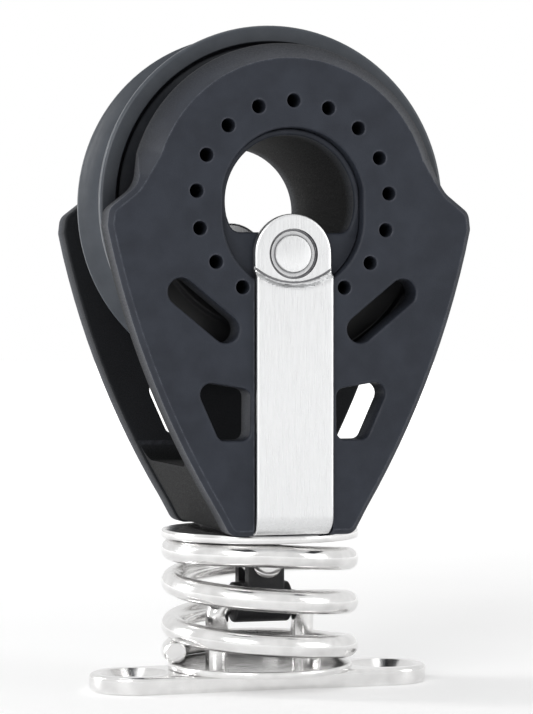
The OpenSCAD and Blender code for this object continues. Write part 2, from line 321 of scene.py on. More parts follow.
def placed(shell, *matrices):
    """The same shell, moved by the matrices in turn."""
    for matrix in matrices:
        shell.points = [matrix @ p for p in shell.points]
    return shell


def lift(height):
    """Move straight up by a height."""
    return Matrix.Translation((0, 0, height))


def bar(radius, reach, height, along=ALONG_Y, edge=0, segments=32):
    """Round bar that crosses the axis at a height and reaches equally far to both sides."""
    return placed(turned_disc(radius, -reach, reach, edge, segments), along, lift(height))


def add(name, data):
    """Object of that data, linked into the scene."""
    obj = bpy.data.objects.new(name, data)
    bpy.context.scene.collection.objects.link(obj)
    return obj


def to_object(name, shell):
    """Blender object of a shell, with its normals outward."""
    mesh = bpy.data.meshes.new(name)
    mesh.from_pydata([p * MM for p in shell.points], [], shell.faces)
    work = bmesh.new()
    work.from_mesh(mesh)
    bmesh.ops.remove_doubles(work, verts=work.verts, dist=1e-7)
    bmesh.ops.recalc_face_normals(work, faces=work.faces)
    work.to_mesh(mesh)
    work.free()
    return add(name, mesh)


def combine(obj, operation, *shells):
    """Boolean of the object with each shell in turn."""
    for shell in shells:
        tool = to_object("tool", shell)
        modifier = obj.modifiers.new("combine", "BOOLEAN")
        modifier.operation = operation
        modifier.object = tool
        modifier.solver = "EXACT"
        evaluated = obj.evaluated_get(bpy.context.evaluated_depsgraph_get())
        mesh = bpy.data.meshes.new_from_object(evaluated)
        obj.modifiers.remove(modifier)
        old = obj.data
        obj.data = mesh
        bpy.data.meshes.remove(old)
        bpy.data.objects.remove(tool)
    return obj


def cut(obj, *shells):
    """Takes the shells out of the object."""
    return combine(obj, "DIFFERENCE", *shells)


def join(obj, *shells):
    """Fuses the shells with the object."""
    return combine(obj, "UNION", *shells)


def clean(mesh):
    """Merges the slivers that booleans leave behind."""
    work = bmesh.new()
    work.from_mesh(mesh)
    bmesh.ops.remove_doubles(work, verts=work.verts, dist=2e-6)
    bmesh.ops.dissolve_degenerate(work, edges=work.edges, dist=2e-6)
    work.to_mesh(mesh)
    work.free()


def finish(obj, material, body, nodes=(), sharp=38):
    """Shades a piece, gives it its material, and lets it ride on its body."""
    clean(obj.data)
    obj.data.materials.clear()
    obj.data.materials.append(material)
    obj.data.shade_smooth()
    obj.data.set_sharp_from_angle(angle=math.radians(sharp))
    weigh = obj.modifiers.new("weighted normals", "WEIGHTED_NORMAL")
    weigh.keep_sharp = True
    if body:
        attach(obj, body)
    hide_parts(*nodes)
    return obj


# ---------------------------------------------------------------- materials

class Paint:
    """A Principled material built up from procedural nodes, with object coordinates in millimetres."""

    def __init__(self, name, **constants):
        self.material = bpy.data.materials.new(name)
        self.material.use_nodes = True
        self.tree = self.material.node_tree
        self.shader = self.tree.nodes["Principled BSDF"]
        for socket, value in constants.items():
            self.shader.inputs[socket.replace("_", " ")].default_value = value
        where = self.node("ShaderNodeTexCoord").outputs["Object"]
        scaled = self.node("ShaderNodeVectorMath", {0: where, "Scale": 1 / MM}, operation="SCALE")
        self.where = scaled.outputs[0]

    def node(self, kind, inputs=(), **settings):
        made = self.tree.nodes.new(kind)
        for key, value in settings.items():
            setattr(made, key, value)
        for key, value in dict(inputs).items():
            if isinstance(value, bpy.types.NodeSocket):
                self.tree.links.new(value, made.inputs[key])
            else:
                made.inputs[key].default_value = value
        return made

    def noise(self, per_mm, detail=3, stretch=(1, 1, 1)):
        place = self.node("ShaderNodeMapping", {"Vector": self.where, "Scale": stretch}).outputs[0]
        sockets = {"Vector": place, "Scale": per_mm, "Detail": detail}
        return self.node("ShaderNodeTexNoise", sockets).outputs["Fac"]

    def spread(self, value, low, high, start=0.35, end=0.65):
        """Maps value from start..end onto low..high."""
        sockets = {"Value": value, "From Min": start, "From Max": end, "To Min": low, "To Max": high}
        return self.node("ShaderNodeMapRange", sockets).outputs[0]

    def product(self, first, second):
        return self.node("ShaderNodeMath", {0: first, 1: second}, operation="MULTIPLY").outputs[0]

    def edges(self, width, sharp=0.82):
        """1 on sharp edges and 0 on flat or gently curved surface; a larger sharp counts blunter edges."""
        eased = self.node("ShaderNodeBevel", {"Radius": width * MM}, samples=4).outputs[0]
        plain = self.node("ShaderNodeNewGeometry").outputs["Normal"]
        dot = self.node("ShaderNodeVectorMath", {0: eased, 1: plain}, operation="DOT_PRODUCT")
        return self.spread(dot.outputs["Value"], 1, 0, sharp, 0.985)

    def occlusion_shade(self, reach):
        """Ambient occlusion for painted shade: 1 in the open and less in narrow grooves and corners."""
        return self.node("ShaderNodeAmbientOcclusion", {"Distance": reach * MM}, samples=8).outputs["AO"]

    def blend(self, amount, first, second):
        mixed = self.node("ShaderNodeMix", {"Factor": amount}, data_type="RGBA")
        for socket, value in zip([s for s in mixed.inputs if s.type == "RGBA"], (first, second)):
            if isinstance(value, bpy.types.NodeSocket):
                self.tree.links.new(value, socket)
            else:
                socket.default_value = (*value, 1)
        return [s for s in mixed.outputs if s.type == "RGBA"][0]

    def feed(self, socket, value):
        self.tree.links.new(value, self.shader.inputs[socket])

    def bump(self, height, depth):
        """Bump of the given depth in millimetres."""
        bumped = self.node("ShaderNodeBump", {"Height": height, "Distance": depth * MM, "Strength": 1})
        self.feed("Normal", bumped.outputs[0])


def moulded_nylon():
    """Dark blue-grey glass-filled nylon with a fine grain, duller on its inside faces and darkened there by
    painted shade, with lighter edges that are partly wear and partly a painted highlight.
    """
    paint = Paint("moulded nylon", IOR=1.5, Specular_IOR_Level=0.22)
    across = paint.node("ShaderNodeSeparateXYZ", {0: paint.where}).outputs["Y"]
    depth = paint.node("ShaderNodeMath", {0: across}, operation="ABSOLUTE").outputs[0]
    mottle = paint.spread(paint.noise(0.35, 4), 0, 1)
    body = paint.blend(mottle, (0.018, 0.021, 0.029), (0.024, 0.028, 0.038))
    # Painted shade: the inside faces between the cheeks go near black, fading to the body colour outwards.
    inside_shade_fade = paint.spread(depth, 0, 1, INSIDE_Y, OUTSIDE_Y)
    body = paint.blend(inside_shade_fade, (0.0015, 0.0018, 0.0022), body)
    # Lighter edges, partly wear and partly a painted highlight along the rounded edges; kept off the inside
    # faces.
    edge_lightening = paint.product(paint.edges(0.3, 0.91), paint.spread(paint.noise(1.3, 3), 0.35, 0.9, 0.42, 0.62))
    edge_lightening = paint.product(edge_lightening, paint.spread(depth, 0.1, 1, INSIDE_Y, OUTSIDE_Y))
    paint.feed("Base Color", paint.blend(edge_lightening, body, (0.095, 0.10, 0.12)))
    grain = paint.noise(7, 4)
    rubbed = paint.spread(grain, 0.42, 0.58)
    paint.feed("Roughness", paint.product(rubbed, paint.spread(depth, 1.6, 1, INSIDE_Y, OUTSIDE_Y)))
    paint.bump(grain, 0.012)
    return paint.material


def sheave_black():
    """Satin black acetal with faint turning marks, nearly black where the cheeks shade it."""
    paint = Paint("black acetal", IOR=1.48, Specular_IOR_Level=0.4)
    mottle = paint.spread(paint.noise(0.5, 3), 0, 1)
    body = paint.blend(mottle, (0.042, 0.049, 0.060), (0.052, 0.060, 0.072))
    # Painted shade: nearly black where the cheeks close round the sheave.
    body = paint.blend(paint.spread(paint.occlusion_shade(9), 0, 1, 0.35, 0.85), (0.003, 0.003, 0.004), body)
    edge_lightening = paint.product(paint.edges(0.2), paint.spread(paint.noise(1.6, 3), 0, 0.6, 0.45, 0.62))
    paint.feed("Base Color", paint.blend(edge_lightening, body, (0.06, 0.065, 0.07)))
    marks = paint.noise(2.2, 3, (0.15, 3.0, 0.15))
    paint.feed("Roughness", paint.spread(marks, 0.30, 0.42))
    paint.bump(paint.noise(5, 3), 0.006)
    return paint.material


def satin_steel():
    """Stainless strip brushed along its length, with painted shade in its grooves."""
    paint = Paint("satin stainless", Metallic=1, Anisotropic=0.3)
    brushing = paint.noise(3.0, 4, (4.0, 4.0, 0.12))
    edge_lightening = paint.product(paint.edges(0.15), paint.spread(paint.noise(1.5, 3), 0.2, 1))
    body = paint.blend(paint.spread(brushing, 0, 1), (0.71, 0.715, 0.72), (0.77, 0.775, 0.78))
    # Painted shade: darker in the grooves and corners of the strap and rivet.
    body = paint.blend(paint.spread(paint.occlusion_shade(0.9), 0, 1, 0.45, 0.95), (0.16, 0.16, 0.17), body)
    paint.feed("Base Color", paint.blend(edge_lightening, body, (0.92, 0.92, 0.91)))
    paint.feed("Roughness", paint.spread(brushing, 0.26, 0.34))
    paint.bump(brushing, 0.0008)
    return paint.material


def polished_steel():
    """Polished stainless with faint handling marks."""
    paint = Paint("polished stainless", Metallic=1)
    smears = paint.noise(0.6, 5)
    body = paint.blend(paint.spread(smears, 0, 1), (0.74, 0.735, 0.73), (0.82, 0.815, 0.81))
    edge_lightening = paint.product(paint.edges(0.15), paint.spread(paint.noise(1.5, 3), 0.2, 1))
    paint.feed("Base Color", paint.blend(edge_lightening, body, (0.90, 0.90, 0.89)))
    paint.feed("Roughness", paint.spread(smears, 0.13, 0.25))
    paint.bump(paint.noise(3, 4), 0.003)
    return paint.material


def black_coating():
    """Black coated steel, a little rubbed through at its edges."""
    paint = Paint("black coating", IOR=1.5)
    edge_lightening = paint.product(paint.edges(0.2), paint.spread(paint.noise(1.8, 4), 0, 0.7, 0.45, 0.6))
    body = paint.blend(paint.spread(paint.noise(0.8, 3), 0, 1), (0.010, 0.010, 0.012), (0.018, 0.018, 0.020))
    paint.feed("Base Color", paint.blend(edge_lightening, body, (0.10, 0.10, 0.11)))
    grain = paint.noise(5, 4)
    paint.feed("Roughness", paint.spread(grain, 0.35, 0.55))
    paint.bump(grain, 0.008)
    return paint.material


def ball_plastic():
    """Off-white acetal bearing balls."""
    paint = Paint("white acetal", IOR=1.48)
    tint = paint.spread(paint.noise(1.2, 3), 0, 1)
    body = paint.blend(tint, (0.76, 0.74, 0.68), (0.84, 0.83, 0.78))
    paint.feed("Base Color", paint.blend(paint.edges(0.1), body, (0.88, 0.87, 0.83)))
    paint.feed("Roughness", paint.spread(paint.noise(2.5, 3), 0.22, 0.34))
    paint.bump(paint.noise(6, 3), 0.003)
    return paint.material


def studio_floor():
    """Pale board that fades into the background with distance."""
    paint = Paint("pale floor", Roughness=0.7)
    distance = paint.node("ShaderNodeVectorMath", {0: paint.where}, operation="LENGTH").outputs["Value"]
    mottle = paint.spread(paint.noise(0.05, 3), 0, 1)
    paint.feed("Base Color", paint.blend(mottle, (0.88, 0.88, 0.88), (0.90, 0.90, 0.90)))
    paint.bump(paint.noise(2, 3), 0.01)
    paint.shader.inputs["Emission Color"].default_value = (1, 1, 1, 1)
    paint.feed("Emission Strength", paint.spread(distance, 0.25, 1, 60, 900))
    return paint.material


# ---------------------------------------------------------------- moulded body

# Inner face of a cheek: its raised ring round the hub, and how far its edges are rounded
BOSS_RADIUS = 13.3
INNER_RIM = 0.3

# Flushing holes round the hub
FLUSH_COUNT = 17
FLUSH_CIRCLE = 10.9
FLUSH_RADIUS = 0.75


def taper_point(s):
    """Point of the cheek's right edge between shoulder and foot, for s from 0 to 1, from the axle."""
    top = Vector((SHOULDER_X, -2.9))
    bottom = Vector((FOOT_X, FOOT_Z - AXLE + 0.6))
    run = bottom - top
    outward = Vector((-run.y, run.x)).normalized()
    return top + run * s + outward * 6.4 * s * (1 - s)


def body_outline(shrink=0):
    """Cheek outline from the axle, counter-clockwise from the foot."""
    foot = FOOT_Z - AXLE
    right = [(FOOT_X - 0.15, foot, 1.3)]
    right += [(*taper_point(i / 14), 0) for i in range(13, 0, -1)]
    right += [(SHOULDER_X, -2.8, 1.2), (SHOULDER_X - 0.2, -1.0, 1.5), (17.0, 1.6, 3)]
    crown = [(*p, 0) for p in arc((0, 0), CROWN_RADIUS, 17, 163, 60)]
    left = [(-x, z, radius) for x, z, radius in reversed(right)]
    points = rounded(right + crown + left)
    if shrink:
        points = [p + n * shrink for p, n in zip(points, inward(points))]
    return points


def hub_outline(inset):
    """Hub opening, made smaller by inset, from the axle."""
    side = math.degrees(math.acos(OVAL_RADIUS / OPENING_RADIUS))
    upper = arc((0, 0), OPENING_RADIUS - inset, side, 180 - side, 40)
    lower = arc((0, -OVAL_DROP), OVAL_RADIUS - inset, 180, 360, 40)
    return upper + lower


def cheek_rows(point):
    """(inset, depth) steps of the face's edge at a point of the outline: wide on the crown, small below."""
    crown = [(1.9, 0)] * 3 + [(1.88, 0.03), (0.94, 1.52), (0.1, 2.85), (0.1, 2.85), (0, 3.2)]
    chamfer = [(0.55, 0)] * 3 + [(0.53, 0.02), (0.28, 0.25), (0.02, 0.53), (0, 0.55), (0, 0.6)]
    share = smooth((point.y - 1.5) / 3.8)
    rest = 1 - share
    return [(a[0] * share + b[0] * rest, a[1] * share + b[1] * rest) for a, b in zip(crown, chamfer)]


def cheek_shell():
    """Front cheek without its strap channel, with (x, z) taken from the axle and y from the face inwards."""
    shell = Shell()
    plate_depth = FACE_Y - PLATE_Y
    boss_depth = FACE_Y - BOSS_Y

    def at(point, depth):
        return point.x, depth - FACE_Y, point.y + AXLE

    def ring_at(points, normals, inset, depth):
        """Ring of the outline moved along its normals by the inset, at that depth."""
        return shell.ring([at(p + n * inset, depth) for p, n in zip(points, normals)])

    outline = body_outline()
    normals = inward(outline)
    face_steps = zip(*[cheek_rows(p) for p in outline])
    rings = [shell.ring([at(p + n * inset, depth) for p, n, (inset, depth) in zip(outline, normals, step)])
             for step in face_steps]
    rings += [ring_at(outline, normals, inset, plate_depth - depth)
              for inset, depth in reversed(edge_steps(INNER_RIM))]
    shell.wall(rings)

    boss = circle((0, 0), BOSS_RADIUS, 120)
    boss_normals = inward(boss)
    boss_rings = [shell.ring([at(p, plate_depth) for p in boss])]
    boss_rings += [ring_at(boss, boss_normals, inset, boss_depth - depth)
                   for inset, depth in reversed(edge_steps(INNER_RIM))]
    shell.wall(boss_rings)

    def through(points, far, rim):
        outward = [-n for n in inward(points)]
        rows = edge_steps(rim)
        loops = [ring_at(points, outward, inset, depth) for inset, depth in rows]
        loops += [ring_at(points, outward, inset, far - depth) for inset, depth in reversed(rows)]
        shell.wall(loops)
        return loops[0], loops[-1]

    hub = through(hub_outline(0), boss_depth, 0.35)
    flushes = []
    for i in range(FLUSH_COUNT):
        angle = math.radians(90 + 360 * i / FLUSH_COUNT)
        centre = (FLUSH_CIRCLE * math.cos(angle), FLUSH_CIRCLE * math.sin(angle))
        flushes.append(through(circle(centre, FLUSH_RADIUS, 20), boss_depth, 0.15))
    openings = []
    for side in (1, -1):
        openings.append(through(slot_outline(side), plate_depth, 0.3))
        openings.append(through(window_outline(side), plate_depth, 0.3))
    shell.cap(rings[0], [hub[0]] + [f[0] for f in flushes] + [o[0] for o in openings])
    shell.cap(rings[-1], [boss_rings[0]] + [o[1] for o in openings])
    shell.cap(boss_rings[-1], [hub[1]] + [f[1] for f in flushes])
    return shell


def slot_outline(side):
    """Round-ended slot beside the hub, from the axle, counter-clockwise."""
    outer = Vector((12.5, -9.8))
    inner = Vector((7.6, -13.8))
    half_width = 1.5
    along = math.degrees(math.atan2(outer.y - inner.y, outer.x - inner.x))
    points = arc(outer, half_width, along - 90, along + 90, 14)
    points += arc(inner, half_width, along + 90, along + 270, 14)
    return points if side > 0 else [Vector((-p.x, p.y)) for p in reversed(points)]


def window_outline(side):
    """Long window beside the strap, from the axle, counter-clockwise."""
    corners = [(11.25, -19.25, 1.2), (4.85, -20.3, 1.0), (4.9, -25.8, 1.0), (8.3, -25.8, 1.0)]
    points = rounded(corners, 8)
    return points if side > 0 else [Vector((-p.x, p.y)) for p in reversed(points)]


def strap_channel():
    """Everything the strap's channel takes out of the body, down both faces and under the foot."""
    inner = STRAP_INNER_Y
    clear = 20
    bottom = 10
    floor = STRAP_LOW.z + STRAP_THICKNESS
    top = AXLE - OVAL_DROP
    corner = 1
    points = [Vector((-clear, bottom)), Vector((clear, bottom)), Vector((clear, top)), Vector((inner, top))]
    points += arc((inner - corner, floor + corner), corner, 0, -90, 8)
    points += arc((corner - inner, floor + corner), corner, 270, 180, 8)
    points += [Vector((-inner, top)), Vector((-clear, top))]
    half = STRAP_HALF + 0.1
    return placed(plate(points, [], -half, half, 0, 0), ALONG_X)


def build_cheeks(nylon):
    for name, mirror in (("front_cheek", 1), ("back_cheek", -1)):
        shell = placed(cheek_shell(), Matrix.Diagonal((1, mirror, 1, 1)))
        finish(cut(to_object(name + "_moulding", shell), strap_channel()), nylon, "block", [name])


def d_outline():
    """Open part of the hub, flat at the bottom over the web, with rounded corners."""
    flat = -3.3
    radius = 7.3
    corner = 1.8
    edge = math.degrees(math.asin(flat / radius))
    points = arc((0, 0), radius, edge + 14, 166 - edge, 48)
    reach = radius * math.cos(math.radians(edge))
    corners = [(*p, 0) for p in points] + [(-reach, flat, corner), (reach, flat, corner)]
    return rounded(corners)


def build_hub_core(nylon):
    spigot = plate(hub_outline(0.05), [d_outline()], -CORE_Y, CORE_Y, 0.2, 0.4)
    core = to_object("hub_core_moulding", placed(spigot, ALONG_Y, lift(AXLE)))
    half = BOSS_Y - 0.05
    inner = 7.7
    wall = 10.5
    race = [Vector((inner, -half)), Vector((wall, -half))]
    race += bearing_track(-BALL_ROW_Y, wall) + bearing_track(BALL_ROW_Y, wall)
    race += [Vector((wall, half)), Vector((inner, half))]
    ring = placed(lathe([tuple(p) for p in race]), ALONG_Y, lift(AXLE))
    shank = bar(RIVET_SHANK, CORE_Y + 1, RIVET_Z)
    finish(cut(join(core, ring), shank), nylon, "block", ["hub_core"])


def bearing_track(y, wall):
    """Round track that the balls run in, cut into a wall at that radius.

    The points run with rising y on the hub's wall, and with falling y on the sheave's.
    """
    half = math.degrees(math.acos(abs(BALL_CIRCLE - wall) / BALL_TRACK))
    if wall < BALL_CIRCLE:
        return arc((BALL_CIRCLE, y), BALL_TRACK, 180 + half, 180 - half, 10)
    return arc((BALL_CIRCLE, y), BALL_TRACK, half, -half, 10)


def build_sheave(black):
    half = SHEAVE_HALF
    lip = half - 0.8
    bore = 12.1
    groove = 16.4
    depth = SHEAVE_RADIUS - groove
    radius = (lip * lip + depth * depth) / (2 * depth)
    spread = math.degrees(math.asin(lip / radius))
    relief = -half + 0.5
    side = [(bore, -half, 0.15), (14, -half, 0.2), (14.3, relief, 0.3), (17.7, relief, 0.3)]
    side += [(18, -half, 0.2), (SHEAVE_RADIUS, -half, 0.6), (SHEAVE_RADIUS, -lip, 0.1)]
    round_groove = [(*p, 0) for p in arc((groove + radius, 0), radius, 180 + spread, 180 - spread, 28)[1:-1]]
    other = [(r, -y, rim) for r, y, rim in reversed(side)]
    tracks = [(*p, 0) for p in bearing_track(BALL_ROW_Y, bore) + bearing_track(-BALL_ROW_Y, bore)]
    profile = rounded(side + round_groove + other + tracks, 4)
    shell = placed(lathe([tuple(p) for p in profile], 144), ALONG_Y, lift(AXLE))
    finish(to_object("sheave_wheel", shell), black, "wheel", ["sheave"])


def build_head(nylon):
    top = SPACER_TOP + 2.3
    right = [p for p in body_outline(0.25) if p.x > 0 and p.y < top - AXLE]
    points = right + [Vector((-p.x, p.y)) for p in reversed(right)]
    block = plate([p + Vector((0, AXLE)) for p in points], [], -PLATE_Y, PLATE_Y, 0, 0)
    head = to_object("head_moulding", placed(block, ALONG_Y))
    wall = PLATE_Y - 0.02
    above = 40
    corners = [(-wall, SPACER_TOP, 2.2), (wall, SPACER_TOP, 2.2), (wall, above, 0), (-wall, above, 0)]
    trough = rounded(corners, 10)
    hollow = placed(plate(trough, [], -30, 30, 0, 0), ALONG_X)
    nut_seat = turned_disc(4.2, 21, above, 0.3)
    cut(head, hollow, strap_channel(), nut_seat, stud_hole())
    finish(head, nylon, "block", ["head_spacer"])


def stud_hole():
    """Clearance for the swivel stud through the head and the strap."""
    return turned_disc(STUD_HOLE, 10, 30, 0, 48)


# ---------------------------------------------------------------- strap and rivet

# Outer face of the strap's heads, and how far the rivet's seats are sunk into them
HEAD_Y = CORE_Y + STRAP_THICKNESS
SEAT_SUNK = 0.3


def strap_rows():
    """(inset, depth) round one long edge of the strap, from its face to its back."""
    front = edge_steps(0.3)
    return front + [(inset, STRAP_THICKNESS - depth) for inset, depth in reversed(front)]


def strap_shell():
    """Strap down one face, under the body and up the other, with round heads stepped into the hub."""
    shell = Shell()
    rows = strap_rows()
    across = [k / 9 - 1 for k in range(19)]
    head_z = RIVET_Z
    bend = 2.2
    drop, rim, slope = 0.8, 7.1, 0.6

    def section(origin, normal, along, width, rise):
        def point(inset, depth, share):
            reach = STRAP_HALF - inset
            place = origin + Vector((share * reach * width, 0, 0)) + along * reach * rise - normal * depth
            if abs(normal.y) == 1:
                distance = math.hypot(place.x, place.z - AXLE + OVAL_DROP)
                place.y -= math.copysign(drop * (1 - smooth((distance - rim) / slope)), place.y)
            return place

        edge, face = rows[0]
        loop = [point(edge, face, share) for share in across]
        loop += [point(inset, depth, 1) for inset, depth in rows[1:-1]]
        loop += [point(edge, STRAP_THICKNESS, share) for share in reversed(across)]
        loop += [point(inset, depth, -1) for inset, depth in reversed(rows[1:-1])]
        return shell.ring(loop)

    rings = []
    up = Vector((0, 0, 1))
    # Stations down a leg, closest together where the head steps down into the hub
    heights = [head_z - 0.25 * i for i in range(1, 5)] + [47.2 - 0.16 * i for i in range(22)]
    heights += [43.2 - 1.0 * i for i in range(23)]
    turn_z = STRAP_LOW.z + bend
    heights = [z for z in heights if z > turn_z]
    for side in (-1, 1):
        outward = Vector((0, side, 0))
        leg = []
        for i in range(13):
            angle = math.radians(90 * (1 - i / 12))
            origin = Vector((0, side * STRAP_OUTER_Y, head_z))
            leg.append((origin, outward, up, math.cos(angle), math.sin(angle)))
        leg += [(Vector((0, side * STRAP_OUTER_Y, z)), outward, up, 1, 0) for z in heights]
        centre = Vector((0, side * (STRAP_OUTER_Y - bend), turn_z))
        for i in range(11):
            angle = math.radians(9 * i)
            normal = Vector((0, side * math.cos(angle), -math.sin(angle)))
            leg.append((centre + normal * bend, normal, up, 1, 0))
        if side < 0:
            rings += [section(*station) for station in leg]
            bottom = [Vector((0, y, STRAP_LOW.z)) for y in (-8, -4, 0, 4, 8)]
            rings += [section(origin, Vector((0, 0, -1)), up, 1, 0) for origin in bottom]
        else:
            rings += [section(*station) for station in reversed(leg)]
    shell.wall(rings)
    return shell


def head_sinks():
    """What the strap's heads lose: a sunk seat with a groove for each rivet end, and the arc below it."""
    above = HEAD_Y + 5
    floor = HEAD_Y - SEAT_SUNK
    bottom = HEAD_Y - 0.65
    inner, outer = 2.44, 2.74
    seat = [(0, floor), (inner, floor), (inner, bottom), (outer, bottom), (outer, above), (0, above)]
    shells = []
    for turn in (ALONG_Y, ALONG_Y.inverted()):
        shells.append(placed(lathe(seat, 64), OFF_GRID, turn, lift(RIVET_Z)))
        groove = turned_ring(6.8, 7.06, HEAD_Y - 0.35, above, 0)
        shells.append(placed(groove, OFF_GRID, turn, lift(AXLE - OVAL_DROP)))
    return shells


def build_strap(steel):
    strap = to_object("strap_bent", strap_shell())
    shank = placed(turned_disc(RIVET_SHANK, -20, 20, 0, 32), OFF_GRID, ALONG_Y, lift(RIVET_Z))
    stud = placed(stud_hole(), OFF_GRID)
    finish(cut(strap, stud, *head_sinks(), shank), steel, "block", ["strap"], 30)


def build_rivet(steel):
    floor = HEAD_Y - SEAT_SUNK
    top = RIVET_HIGH.y
    half = [(RIVET_SHANK, floor), (2.05, floor), (2.05, top - 0.16), (1.95, top - 0.05), (1.6, top),
            (0.8, top + 0.05)]
    profile = [(0, -top - 0.06)] + [(r, -y) for r, y in reversed(half)] + half + [(0, top + 0.06)]
    shell = placed(lathe(profile, 48), ALONG_Y, lift(RIVET_Z))
    finish(to_object("hub_rivet_headed", shell), steel, "block", ["hub_rivet"])


# ---------------------------------------------------------------- swivel, toggle and spring

# Radii of the clevis pin, and of the tang's and the fork's rounded ends round it
PIN_RADIUS = 1.1
EYE_RADIUS = 2.1

# Rise of the spring in one turn, the turns that lie flat on the lower seat, and where its halves meet
SPRING_PITCH = 4.9
FLAT_TURNS = 0.45
SPLIT_TURNS = 1.48
SPRING_TURNS = (SPRING_HIGH.z - SPRING_LOW.z - 2 * SPRING_WIRE) / SPRING_PITCH + 2 * FLAT_TURNS


def build_stud(steel):
    low = SEAT_LOW.z
    tang_half = 1.2
    flange = 4.35
    profile = [(0, low - 0.3), (2, low - 0.3), (2.3, low), (4.1, low), (flange, low + 0.25),
               (flange, SEAT_HIGH.z - 0.15), (4.2, SEAT_HIGH.z), (2.25, SEAT_HIGH.z),
               (STUD_RADIUS, SEAT_HIGH.z + 0.25), (STUD_RADIUS, STUD_HIGH.z - 0.3),
               (1.7, STUD_HIGH.z), (0, STUD_HIGH.z)]
    stud = to_object("swivel_stud_turned", lathe(profile, 64))
    tang = arc((0, PIN_Z), EYE_RADIUS, 180, 360, 24)
    tang += [Vector((EYE_RADIUS, low + 0.2)), Vector((-EYE_RADIUS, low + 0.2))]
    join(stud, placed(plate(tang, [], -tang_half, tang_half, 0.2, 0), ALONG_Y))
    finish(cut(stud, bar(1.15, 4, PIN_Z)), steel, "swivel", ["swivel_stud"])


def build_seat(steel):
    seat = turned_ring(4.45, SEAT_HIGH.x, SEAT_LOW.z, SEAT_HIGH.z, 0.3)
    finish(to_object("spring_seat_pressed", seat), steel, "swivel", ["spring_seat"])


def build_washer(steel):
    low, high = extents("swivel_washer")
    washer = turned_ring(STUD_HOLE, high.x, low.z, high.z, 0.15)
    finish(to_object("swivel_washer_flat", washer), steel, "swivel", ["swivel_washer"])


def build_nut(steel):
    low, high = extents("swivel_nut")
    corner_radius = 3.7
    hexagon = [(*p, 0.15) for p in circle((0, 0), corner_radius, 6)]
    nut = to_object("swivel_nut_hex", plate(rounded(hexagon, 3), [], low.z, high.z, 0.05, 0))
    bevels = lathe([(0, low.z - 1), (3.3, low.z - 1), (3.3, low.z), (3.75, low.z + 0.4), (3.75, high.z - 0.4),
                    (3.3, high.z), (3.3, high.z + 1), (0, high.z + 1)], 64)
    combine(nut, "INTERSECT", bevels)
    finish(cut(nut, turned_disc(STUD_RADIUS, 10, 30, 0, 48)), steel, "swivel", ["swivel_nut"])


def build_pin(steel):
    end = PIN_HIGH.y
    under_head = end - 0.7
    half = [(PIN_RADIUS, under_head), (1.62, under_head), (1.7, under_head + 0.1), (1.7, end - 0.25),
            (1.5, end - 0.06), (1, end)]
    profile = [(0, -end)] + [(r, -y) for r, y in reversed(half)] + half + [(0, end)]
    pin = placed(lathe(profile, 48), ALONG_Y, lift(PIN_Z))
    finish(to_object("clevis_pin_headed", pin), steel, "link", ["clevis_pin"])


def build_toggle(black):
    """Fork round the tang on top, and a barrel on the bail's bar below, at right angles to it."""
    fork_half = 2.9
    fork = arc((0, PIN_Z), EYE_RADIUS, 0, 180, 20)
    fork += [Vector((-EYE_RADIUS, BAR_Z)), Vector((EYE_RADIUS, BAR_Z))]
    toggle = to_object("toggle_forged", placed(plate(fork, [], -fork_half, fork_half, 0.25, 0), ALONG_Y))
    barrel = bar(2.3, 3.3, BAR_Z, ALONG_X, 0.3, 48)
    gap_half = 1.35
    gap_floor = 11.7
    slot = [Vector((-5, gap_floor)), Vector((5, gap_floor)), Vector((5, 30)), Vector((-5, 30))]
    gap = placed(plate(slot, [], -gap_half, gap_half, 0, 0), ALONG_Y)
    eye = bar(BAIL_ROD + 0.05, 5, BAR_Z, ALONG_X)
    hole = bar(PIN_RADIUS, 5, PIN_Z)
    finish(cut(join(toggle, barrel), gap, eye, hole), black, "link", ["toggle"])


def spring_centre(turns):
    """Centre of the wire after that many turns from its lower end: left-handed, starting on -X."""
    low = SPRING_LOW.z + SPRING_WIRE
    high = SPRING_HIGH.z - SPRING_WIRE
    rise = min(max(turns - FLAT_TURNS, 0) * SPRING_PITCH, high - low)
    angle = math.pi - 2 * math.pi * turns
    radius = SPRING_HIGH.x - SPRING_WIRE
    return Vector((radius * math.cos(angle), radius * math.sin(angle), low + rise))


def spring_piece(name, start, end, steps, eased, steel):
    """Stretch of the spring between two turn counts, with its ends eased over those lengths."""
    path = [spring_centre(start + (end - start) * i / steps) for i in range(steps + 1)]
    coil = to_object(name, tube(path, SPRING_WIRE, 28, eased))
    return finish(coil, steel, None, ["spring"])


def build_spring(steel):
    """Two halves of the coil, meeting part way up."""
    lower = spring_piece("spring_lower_coils", 0, SPLIT_TURNS, 150, (0.35, 0), steel)
    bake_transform(lower)
    upper = spring_piece("spring_upper_coils", SPLIT_TURNS, SPRING_TURNS, 90, (0, 0.35), steel)
    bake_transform(upper)


# ---------------------------------------------------------------- base

# Deck screws: distance from the axis and radius of their holes; and how deep the bail's legs reach
SCREW_X = 14.5
SCREW_HOLE = 2.15
LEG_FOOT = 0.4


def build_base(steel):
    half = BASE_HIGH.y
    centre = BASE_HIGH.x - half
    top = BASE_HIGH.z
    ears = arc((centre, 0), half, -90, 90, 40) + arc((-centre, 0), half, 90, 270, 40)
    base = to_object("base_plate_pressed", plate(ears, [], 0, top, 0.45, 0))
    for side in (1, -1):
        sink = lathe([(0, -1), (SCREW_HOLE, -1), (SCREW_HOLE, top - 1.4), (3.7, top - 0.02),
                      (3.85, top + 0.05), (3.85, top + 1), (0, top + 1)], 64)
        cut(base, placed(sink, Matrix.Translation((SCREW_X * side, 0, 0))))
    finish(cut(base, *bail_legs()), steel, "base", ["base_plate"])


